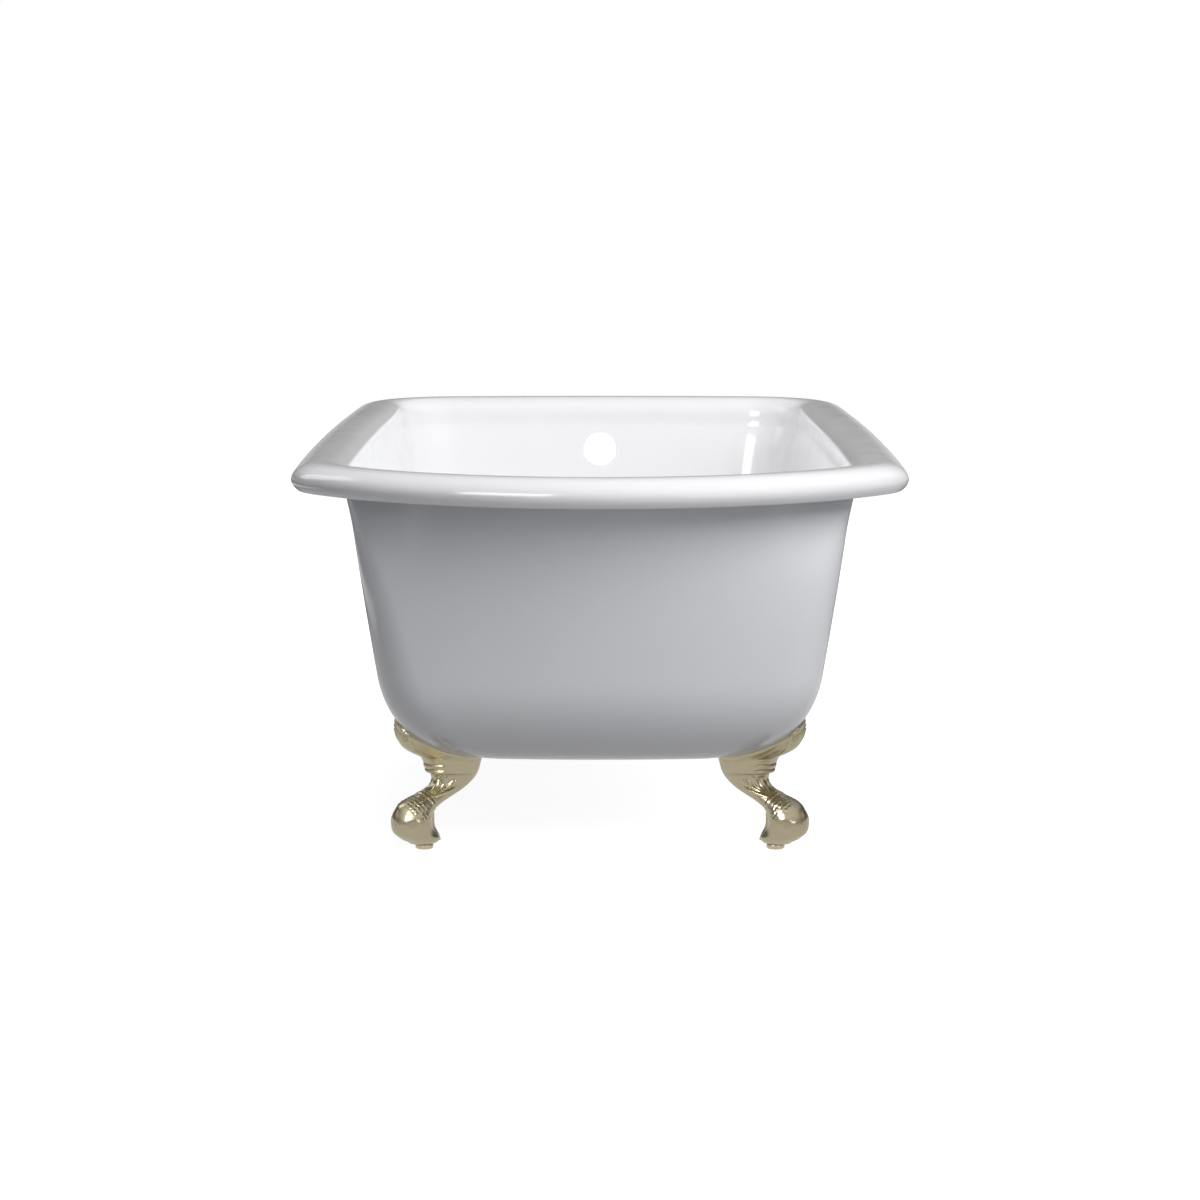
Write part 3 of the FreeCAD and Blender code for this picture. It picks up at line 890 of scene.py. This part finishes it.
def rings_of(radius, z, columns):
    """Rings about the upright axis from a radius for each height and angle."""
    turn = 2 * np.pi * np.arange(columns) / columns
    radius = np.broadcast_to(radius, (len(z), columns))
    height_of = np.broadcast_to(z[:, None], radius.shape)
    return np.stack([radius * np.cos(turn), radius * np.sin(turn), height_of], -1)


def thread(low, high, outer, columns=36, rows_a_pitch=8):
    """A threaded rod: a 60 degree thread 0.61 of its pitch deep, with flat crests and roots, and
    a chamfer at both ends."""
    z = np.linspace(low, high, int((high - low) / thread_pitch * rows_a_pitch) + 1)
    turn = np.arange(columns) / columns
    wave = np.abs(((z[:, None] / thread_pitch + turn) % 1.0) - 0.5) * 2.0
    depth = 0.61 * thread_pitch * np.clip((wave - 0.1) / 0.8, 0.0, 1.0)
    ends = np.minimum(z - low, high - z)[:, None]
    return closed_grid(rings_of(np.minimum(outer - depth, outer - 1.0 + ends), z, columns))


stud_shape = thread(stud_low + swivel_gap, stud_high, stud_r)
print("Turns of thread on a stud:", round((stud_high - stud_low) / thread_pitch))


# %% Pads and bolts
def pad_shape(edge=3.5):
    """The round pad: a turned profile with rounded edges, and a bore for the stud's end."""
    turn = np.linspace(-np.pi / 2, 0, 10)
    out, up = pad_r - edge + edge * np.cos(turn), edge + edge * np.sin(turn)
    side = np.column_stack([[*out, *out[::-1]], [*up, *(pad_high - up[::-1])]])
    bore = [[stud_r + 0.6, pad_high], [stud_r + 0.1, pad_high - 0.5], [stud_r + 0.1, stud_low],
            [stud_r * 0.6, stud_low]]
    return turned(np.concatenate([side, bore]), count=72)


def bolt_shape(columns=72):
    """A hexagon bolt: chamfered head below, under the washer, then the plain shank."""
    head_flat, head_tall, washer_high = 9.5, 7.5, 2.5
    seat, tip = flange_low - washer_high, lug_seat + bolt_grip
    turn = 2 * np.pi * np.arange(columns) / columns
    hexagon = head_flat / np.cos((turn + np.pi / 6) % (np.pi / 3) - np.pi / 6)
    # Rows of the head: height, and the radius of the cone that chamfers it
    head = np.array([[0.0, 8.4], [0.0, 9.2], [0.6, 10.2], [1.2, 11.2], [2.0, 12.0], [4.5, 12.0],
                     [7.3, 12.0], [head_tall, 12.0]])
    shank = np.array([[seat, bolt_r + 0.4], [seat + 0.4, bolt_r], [tip - 1.0, bolt_r],
                      [tip, bolt_r - 1.0]])
    head_radius = np.minimum(hexagon[None], head[:, 1:])
    points, faces = closed_grid(np.concatenate([
        rings_of(head_radius, head[:, 0] + seat - head_tall, columns),
        rings_of(shank[:, 1:], shank[:, 0], columns)]))
    points[:, 0] -= lug_back
    return points, faces


turned_shapes = (("stud", stud_shape, "leveller_stud", "zinc_steel"),
                 ("pad", pad_shape(), "leveller_pad", "nickel_pad"),
                 ("bolt", bolt_shape(), "foot_bolt", "zinc_steel"))
small_parts = []
for corner in feet:
    for name, (points, faces), node, slot in turned_shapes:
        piece = new_piece(corner + "_turned_" + name, foot_to_tub(points, corner), faces)
        piece.data.set_sharp_from_angle(angle=math.radians(30))
        body = "tub" if name == "bolt" else corner + "_" + name
        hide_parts(corner + "_" + node)
        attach(piece, body)
        small_parts.append(piece)
print("Turned parts:", len(small_parts))

# %% [markdown]
# ## Finishes
#
# A finish starts from how its surface was made. Vitreous enamel is powdered glass melted on to hot
# iron, so it is white with a clear, very slightly wavy gloss. Plated nickel is a warm pale metal,
# polished on its high places and duller in its hollows, where the wheel can't reach; its hollows
# are also painted darker, as painted shade. Each finish is a small tree of nodes, and one function
# adds a node of any kind.

# %% Colours and nodes
def linear(colour):
    """A hex colour made linear: under 0.04045 divided by 12.92, and above it a power of 2.4."""
    share = np.array([int(colour[i:i + 2], 16) for i in (0, 2, 4)]) / 255
    share = np.where(share <= 0.04045, share / 12.92, ((share + 0.055) / 1.055) ** 2.4)
    return (*share.tolist(), 1.0)


def add(tree, kind, inputs=(), **settings):
    """Add one shader node with its settings. Its inputs are given by name, or as a list in the
    order of its sockets. Each is a value, a socket to link, or a node for its first output."""
    node = tree.nodes.new("ShaderNode" + kind)
    for key, value in settings.items():
        setattr(node, key, value)
    for key, value in inputs.items() if isinstance(inputs, dict) else enumerate(inputs):
        if isinstance(value, bpy.types.Node):
            value = value.outputs[0]
        if isinstance(value, bpy.types.NodeSocket):
            tree.links.new(value, node.inputs[key])
        else:
            node.inputs[key].default_value = value
    return node


def empty_tree(owner):
    """The node tree of a material or of the world, with nothing in it."""
    owner.use_nodes = True
    owner.node_tree.nodes.clear()
    return owner.node_tree


def finish(name, **constants):
    """A material with one Principled shader. Its constants are set on the shader's own sockets."""
    material = bpy.data.materials.get(name) or bpy.data.materials.new(name)
    tree = empty_tree(material)
    shader = add(tree, "BsdfPrincipled", constants)
    add(tree, "OutputMaterial", {"Surface": shader})
    return material, tree, shader, add(tree, "TexCoord").outputs["Object"]


print("Half grey made linear:", round(linear("808080")[0], 3))


# %% What the finishes share
def sized(place, size_mm, detail=2.0):
    """Inputs of a texture whose features are about a given size. Its scale is one metre over
    that size."""
    return {"Vector": place, "Scale": 1 / MM / size_mm, "Detail": detail}


def two_tone(tree, shader, factor, first, second):
    """A colour that goes from one hex colour to another with a factor."""
    mix = add(tree, "Mix", {0: factor, 6: linear(first), 7: linear(second)}, data_type="RGBA")
    tree.links.new(mix.outputs[2], shader.inputs["Base Color"])


def uneven_polish(tree, shader, place, size_mm, low, high, detail=2.0):
    """Roughness that drifts between two values, in patches of a given size."""
    patches = add(tree, "TexNoise", sized(place, size_mm, detail))
    polish = add(tree, "MapRange", [patches, 0.3, 0.7, low, high])
    tree.links.new(polish.outputs[0], shader.inputs["Roughness"])


def fine_relief(tree, shader, place, *layers):
    """Bumps one on another. A layer is the size and the depth of its bumps in millimetres, their
    strength, and how much finer detail they hold."""
    below = {}
    for size_mm, depth_mm, strength, detail in layers:
        bumps = add(tree, "TexNoise", sized(place, size_mm, detail))
        inputs = {"Height": bumps, "Strength": strength, "Distance": depth_mm * MM, **below}
        layer = add(tree, "Bump", inputs)
        below = {"Normal": layer}
    tree.links.new(layer.outputs[0], shader.inputs["Normal"])


print("Scale of 5 mm bumps:", sized(None, 5.0)["Scale"])

# %% [markdown]
# ### White enamel
#
# On the rim and inside, the glass lies about 1 mm thick. It flowed while it was hot, which leaves
# waves about 34 mm wide that only bend the reflections, and a faint ripple of 5 mm on them.
# Outside, the casting was ground, filled and sprayed, so its gloss is a little softer, its waves
# are broader and its orange peel is finer.

# %% Enamel inside and paint outside
_, tree, shader, place = finish("tub_glaze", IOR=1.5)
two_tone(tree, shader, add(tree, "TexNoise", sized(place, 120.0)), "F9F9FA", "FBFBFC")
uneven_polish(tree, shader, place, 60.0, 0.07, 0.12)
fine_relief(tree, shader, place, (34.0, 0.3, 0.2, 1.0), (5.0, 0.1, 0.12, 2.0))

_, tree, shader, place = finish("tub_outside", IOR=1.48)
two_tone(tree, shader, add(tree, "TexNoise", sized(place, 160.0)), "EEEFF2", "F1F2F4")
uneven_polish(tree, shader, place, 80.0, 0.12, 0.18)
fine_relief(tree, shader, place, (55.0, 0.5, 0.4, 1.0), (3.5, 0.1, 0.15, 2.0))
print("Enamel and paint ready")

# %% [markdown]
# ### Metals
#
# Nickel plate over the cast feet is warm and pale. Where the carving is low the plate is duller,
# and its colour is painted darker and a little browner there, which stands for the shade in the
# hollows as well as for the dull plate; the height map that was kept on the mesh says where that
# is. The apron is a little more satin than the leg below it. The pads are turned, which leaves fine
# rings on them. The studs and bolts are zinc plated steel: bluish, and crystalline at about 3 mm.

# %% Nickel on the feet
nickel, tree, shader, place = finish("polished_nickel_plate", Metallic=1.0)
relief = add(tree, "Attribute", attribute_name="relief").outputs["Fac"]
# Painted shade: where the height map falls from 0.25 towards -0.9 mm the colour darkens and browns,
# for the shade in the hollows as well as the dull plate there
low = add(tree, "MapRange", [relief, 0.25, -0.9, 0.0, 1.0])
cloud = add(tree, "TexNoise", {**sized(place, 9.0, 4.0), "Roughness": 0.6})
tarnish = add(tree, "MapRange", [cloud, 0.35, 0.75, 0.0, 0.22])
hollow_shade_and_tarnish = add(tree, "Math", [low, tarnish], operation="ADD", use_clamp=True)
# The painted shade in the hollows and the random tarnish both turn the colour darker and browner
two_tone(tree, shader, hollow_shade_and_tarnish, "BFB599", "B0A68A")
height_up = add(tree, "SeparateXYZ", [place]).outputs["Z"]
rougher = add(tree, "MapRange", [hollow_shade_and_tarnish, 0.0, 1.0, 0.0, 0.06])
satin = add(tree, "MapRange", [height_up, 0.105, 0.122, 0.25, 0.34])
satin = add(tree, "Math", [rougher, satin], operation="ADD")
tree.links.new(satin.outputs[0], shader.inputs["Roughness"])
fine_relief(tree, shader, place, (9.0, 0.3, 0.3, 2.0), (0.8, 0.04, 0.1, 3.0))
print("Nickel ready")

# %% Nickel on the pads, and zinc
pad_nickel, tree, shader, place = finish("turned_nickel_plate", Metallic=1.0)
two_tone(tree, shader, add(tree, "TexNoise", sized(place, 4.0)), "D6CCB0", "C6BB9C")
uneven_polish(tree, shader, place, 2.0, 0.2, 0.34, 3.0)
# Lathe lines are really about 0.2 mm apart, which is too fine to show, so these are 0.8 mm
# apart: a wave texture repeats 20 times its scale in 2 pi metres
lines = {"Vector": place, "Scale": 400.0, "Distortion": 0.4, "Detail": 1.0}
lathe_lines = add(tree, "TexWave", lines, bands_direction="Z").outputs["Fac"]
rings_turned = add(tree, "Bump", {"Height": lathe_lines, "Strength": 0.15, "Distance": 0.05 * MM})
tree.links.new(rings_turned.outputs[0], shader.inputs["Normal"])

zinc, tree, shader, place = finish("zinc_plated_steel", Metallic=1.0)
spangle = add(tree, "TexVoronoi", {"Vector": place, "Scale": 330.0}).outputs["Color"]
two_tone(tree, shader, spangle, "B4B9BE", "CDD2D6")
uneven_polish(tree, shader, place, 3.0, 0.28, 0.42)
fine_relief(tree, shader, place, (1.2, 0.05, 0.2, 3.0))
print("Pads and zinc ready")

# %% Give each piece its metal
for foot in claw_feet:
    foot.data.materials.clear()
    foot.data.materials.append(nickel)
for piece in small_parts:
    piece.data.materials.append(pad_nickel if piece.name.endswith("pad") else zinc)
for corner in feet:
    for slot in nodes[corner + "_foot_washer"].material_slots:
        slot.material = zinc
print("Metals on", len(claw_feet) + len(small_parts) + len(feet), "pieces")

# %% [markdown]
# ## The studio
#
# The photograph has a pure white ground and soft light from above and from the right. The floor
# and the world answer each kind of ray in their own way. The camera sees white, with the tub's
# shadow on the floor. Gloss sees a studio that is lighter in some places than in others, because
# polished metal that mirrors plain white looks like plaster. All other light meets a plain grey,
# so the white background doesn't light the tub. Soft lamps do that, and they don't show in its
# gloss. A few cards show there instead, and light nothing.

# %% Floor
WHITE = (1.0, 1.0, 1.0, 1.0)
floor_side = 16.0
floor_mesh = bpy.data.meshes.new("studio_floor")
corners = np.array([[-1, -1, 0], [1, -1, 0], [1, 1, 0], [-1, 1, 0]]) * floor_side / 2
floor_mesh.from_pydata(corners.tolist(), [], [(0, 1, 2, 3)])
floor = put_in_scene("studio_floor", floor_mesh)


def seen(tree):
    """1 for the rays that show the background: from the camera, from gloss and through glass."""
    path = add(tree, "LightPath").outputs
    rays = add(tree, "Math", [path["Is Camera Ray"], path["Is Glossy Ray"]], operation="ADD")
    return add(tree, "Math", [rays, path["Is Transmission Ray"]], operation="ADD", use_clamp=True)


paper = bpy.data.materials.new("white_paper_floor")
tree = empty_tree(paper)
place = add(tree, "TexCoord").outputs["Object"]
away = add(tree, "VectorMath", [place], operation="LENGTH").outputs["Value"]
# To the camera: matt paper, which takes the shadow, lifted to white away from the tub
matt = add(tree, "BsdfDiffuse", {"Color": linear("BEBEC0")})
lifted = add(tree, "MapRange", [away, 0.7, 1.5, 0.86, 1.0])
lift = add(tree, "Emission", {"Color": WHITE, "Strength": lifted})
# To gloss: a light floor under the tub that grows dark away from it
mirrored = add(tree, "MapRange", [away, 0.8, 1.6, 0.76, 0.1])
mirrored = add(tree, "Emission", {"Color": WHITE, "Strength": mirrored})
# To all other light: grey paper
bounce = add(tree, "BsdfDiffuse", {"Color": linear("9E9EA0")})
camera_ray = add(tree, "LightPath").outputs["Is Camera Ray"]
shown_floor = add(tree, "MixShader", [camera_ray, mirrored, add(tree, "AddShader", [matt, lift])])
paper_mix = add(tree, "MixShader", [seen(tree), bounce, shown_floor])
add(tree, "OutputMaterial", {"Surface": paper_mix})
floor_mesh.materials.append(paper)
print("Floor side in metres:", floor_side)

# %% World
world = bpy.data.worlds.new("studio")
bpy.context.scene.world = world
tree = empty_tree(world)
dim = add(tree, "Background", {"Color": linear("A8A9AC"), "Strength": 0.40})
# In gloss, the studio is light below the horizon, dark over it, lighter towards its ceiling and
# lighter again behind the camera
toward = add(tree, "SeparateXYZ", [add(tree, "TexCoord").outputs["Generated"]]).outputs
horizon = add(tree, "MapRange", [toward["Z"], 0.0, 0.05, 0.45, 0.12])
ceiling = add(tree, "MapRange", [toward["Z"], 0.3, 0.6, 0.0, 0.42])
behind = add(tree, "MapRange", [toward["Y"], 0.15, -0.35, 0.0, 0.34])
studio = add(tree, "Math", [horizon, ceiling], operation="ADD")
studio = add(tree, "Math", [studio, behind], operation="ADD")
camera_ray = add(tree, "LightPath").outputs["Is Camera Ray"]
shown = add(tree, "Math", [studio, camera_ray], operation="MAXIMUM")
white = add(tree, "Background", {"Color": WHITE, "Strength": shown})
world_mix = add(tree, "MixShader", [seen(tree), dim, white])
add(tree, "OutputWorld", {"Surface": world_mix})
print("World ready")


# %% Lamps
def lamp(name, place, aim, size, power, shows):
    """A rectangular soft lamp that faces a point.

    A lamp that shows in "light" alone is behind a cloth, as it were: it lights the tub and leaves
    no hard-edged reflection. One that shows in "gloss" alone is a card: it adds a reflection and
    no light.
    """
    data = bpy.data.lights.new(name, "AREA")
    data.shape, data.size, data.size_y, data.energy = "RECTANGLE", size[0], size[1], power
    piece = put_in_scene(name, data)
    out = np.array(place) - np.array(aim)
    across, flat = math.atan2(out[0], -out[1]), math.hypot(out[0], out[1])
    piece.location = place
    piece.rotation_euler = (math.atan2(flat, out[2]), 0.0, across)
    piece.visible_camera = False
    piece.visible_diffuse = shows == "light"
    piece.visible_glossy = shows == "gloss"


# Each lamp: where it is, what it faces, its two sides in metres and its watts
lamp("key_right", (2.2, -3.0, 2.8), (0.0, 0.0, 0.4), (2.4, 2.4), 74.0, "light")
lamp("front_high", (0.4, -3.4, 4.0), (0.0, 0.2, 0.4), (2.2, 2.2), 26.0, "light")
lamp("front_mid", (0.4, -4.2, 2.0), (0.0, 0.2, 0.4), (2.4, 1.4), 17.0, "light")
lamp("overhead", (0.0, 0.2, 3.2), (0.0, 0.0, 0.4), (2.2, 2.8), 34.0, "light")
lamp("side_right", (3.0, 0.0, 1.6), (0.0, 0.0, 0.4), (1.0, 1.8), 14.0, "light")
lamp("back_left", (-2.9, 1.9, 0.9), (0.0, 0.3, 0.3), (1.4, 0.9), 20.0, "light")
lamp("back_right", (2.6, 3.0, 0.9), (0.0, 0.3, 0.3), (1.4, 0.9), 22.0, "light")
lamp("card_right", (1.9, -3.2, 0.5), (0.3, -0.8, 0.5), (1.2, 0.3), 6.0, "gloss")
lamp("card_inner", (-1.4, -2.8, 1.6), (0.3, 0.7, 0.5), (1.5, 1.3), 46.0, "gloss")
lamp("card_back", (-2.3, 0.9, 2.0), (0.0, -0.5, 0.1), (1.0, 1.4), 9.0, "gloss")
lamp("card_floor", (-1.5, 1.1, 0.02), (-1.5, 1.1, 1.0), (0.45, 2.6), 3.5, "gloss")
bpy.context.scene.view_settings.view_transform = "Standard"
